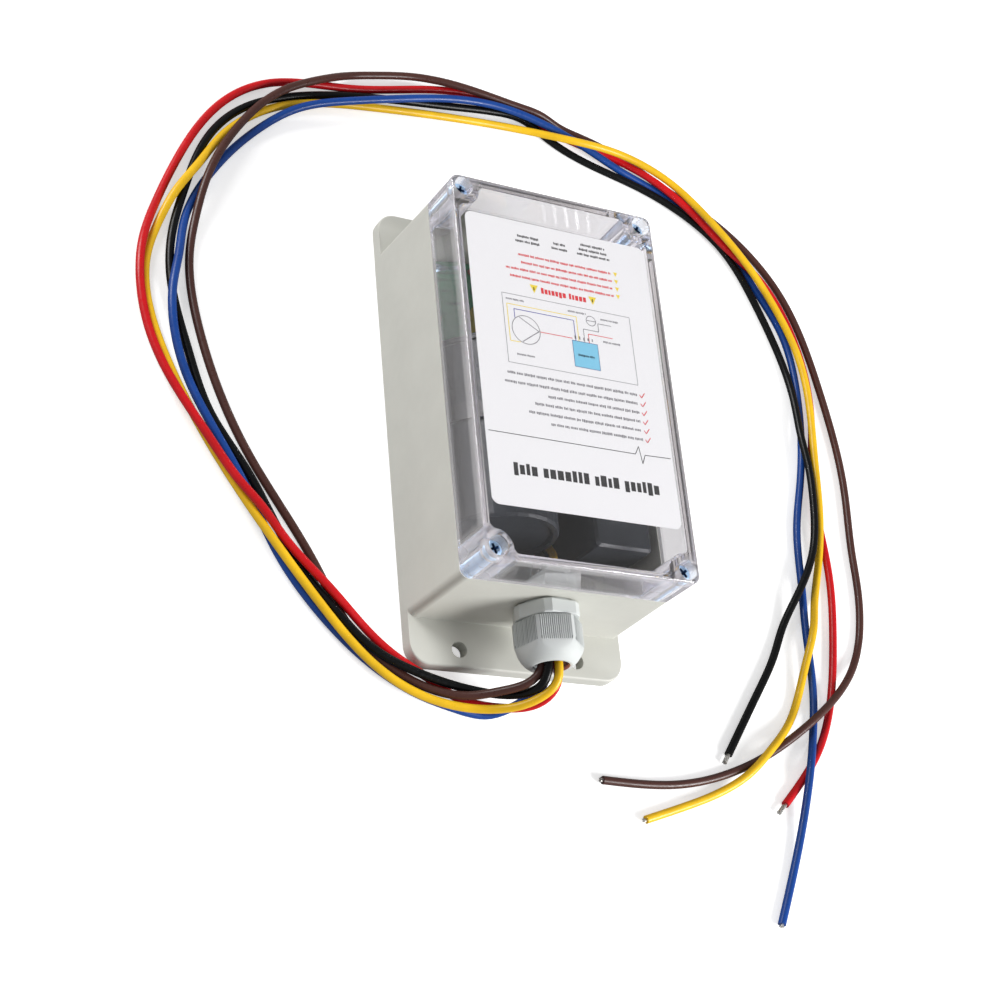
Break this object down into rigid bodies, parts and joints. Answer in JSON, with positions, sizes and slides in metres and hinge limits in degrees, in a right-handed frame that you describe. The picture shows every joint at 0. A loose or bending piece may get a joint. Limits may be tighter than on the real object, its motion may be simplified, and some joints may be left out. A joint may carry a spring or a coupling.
{
  "type": "motor soft starter",
  "caption": "Grey flanged junction box with a clear screwed cover over a start capacitor, relay and board, a cable gland at one end and loose coloured leads.",
  "frame": {"origin": "centre of the base's flat back face", "axes": "+Z out through the cover, +Y along the box away from the cable gland, +X across the box"},
  "size_m": [0.3283, 0.3635, 0.065],
  "materials": {
    "housing": "light grey moulded plastic, fine matt grain",
    "clear": "clear moulded plastic with a faint violet tint, smooth",
    "gasket": "pale grey silicone cord",
    "zinc": "blue-white zinc plate",
    "brass": "turned brass",
    "label": null,
    "gland": "light grey nylon, satin",
    "seal": "black rubber",
    "board": "green glass-fibre board with solder mask",
    "bakelite": "black moulded phenolic, satin",
    "foam": "off-white foam",
    "nylon": "natural white nylon",
    "black_nylon": "black nylon cable tie",
    "aluminium": "extruded aluminium",
    "tin": "tin plate",
    "terminal_green": "green moulded nylon",
    "sleeve_blue": "dark blue shrink sleeve",
    "tape_yellow": "yellow winding tape",
    "light": "tinted epoxy lens",
    "red": "red lead insulation, satin",
    "black": "black lead insulation, satin",
    "yellow": "yellow lead insulation, satin",
    "blue": "blue lead insulation, satin",
    "brown": "brown lead insulation, satin"
  },
  "bodies": {
    "enclosure": {"base_enclosure": "housing", "cover_gasket": "gasket", "gland_body": "gland", "gland_washer": "gland", "gland_locknut": "gland", "gland_seal": "seal", "gland_claw": "gland", "start_capacitor": "bakelite", "capacitor_end_cap": "bakelite", "capacitor_terminal_1": "tin", "capacitor_terminal_2": "tin", "capacitor_tie": "black_nylon", "relay_pad": "foam", "start_relay": "bakelite", "relay_terminal_1": "tin", "relay_terminal_2": "tin", "circuit_board": "board", "terminal_block": "terminal_green", "heat_sink": "aluminium", "power_triac": "bakelite", "filter_capacitor_1": "sleeve_blue", "filter_capacitor_2": "sleeve_blue", "transformer": "tape_yellow", "pin_connector": "nylon", "status_light_1": "light", "status_light_2": "light", "status_light_3": "light", "threaded_insert_1": "brass", "board_screw_1": "zinc", "threaded_insert_2": "brass", "board_screw_2": "zinc", "threaded_insert_3": "brass", "board_screw_3": "zinc", "threaded_insert_4": "brass", "board_screw_4": "zinc", "wire_red": "red", "inner_lead_red": "red", "conductor_red": "tin", "wire_black": "black", "inner_lead_black": "black", "conductor_black": "tin", "wire_yellow": "yellow", "inner_lead_yellow": "yellow", "conductor_yellow": "tin", "wire_blue": "blue", "inner_lead_blue": "blue", "conductor_blue": "tin", "wire_brown": "brown", "inner_lead_brown": "brown", "conductor_brown": "tin"},
    "cover": {"clear_cover": "clear", "diagram_label": "label"},
    "nut": {"gland_nut": "gland"},
    "screw_1": {"cover_screw_1": "zinc"},
    "screw_2": {"cover_screw_2": "zinc"},
    "screw_3": {"cover_screw_3": "zinc"},
    "screw_4": {"cover_screw_4": "zinc"}
  },
  "joints": [
    {"name": "cover_lift", "type": "slide", "parent": "enclosure", "child": "cover", "axis": [0, 0, 1], "range_m": [0, 0.07]},
    {"name": "gland_nut_turn", "type": "hinge", "parent": "enclosure", "child": "nut", "pos_m": [0, -0.1023, 0.0275], "axis": [0, -1, 0], "continuous": true},
    {"name": "cover_screw_1_turn", "type": "hinge", "parent": "cover", "child": "screw_1", "pos_m": [-0.0398, -0.074, 0.0618], "axis": [0, 0, 1], "continuous": true},
    {"name": "cover_screw_2_turn", "type": "hinge", "parent": "cover", "child": "screw_2", "pos_m": [0.0398, -0.074, 0.0618], "axis": [0, 0, 1], "continuous": true},
    {"name": "cover_screw_3_turn", "type": "hinge", "parent": "cover", "child": "screw_3", "pos_m": [0.0398, 0.074, 0.0618], "axis": [0, 0, 1], "continuous": true},
    {"name": "cover_screw_4_turn", "type": "hinge", "parent": "cover", "child": "screw_4", "pos_m": [-0.0398, 0.074, 0.0618], "axis": [0, 0, 1], "continuous": true}
  ]
}
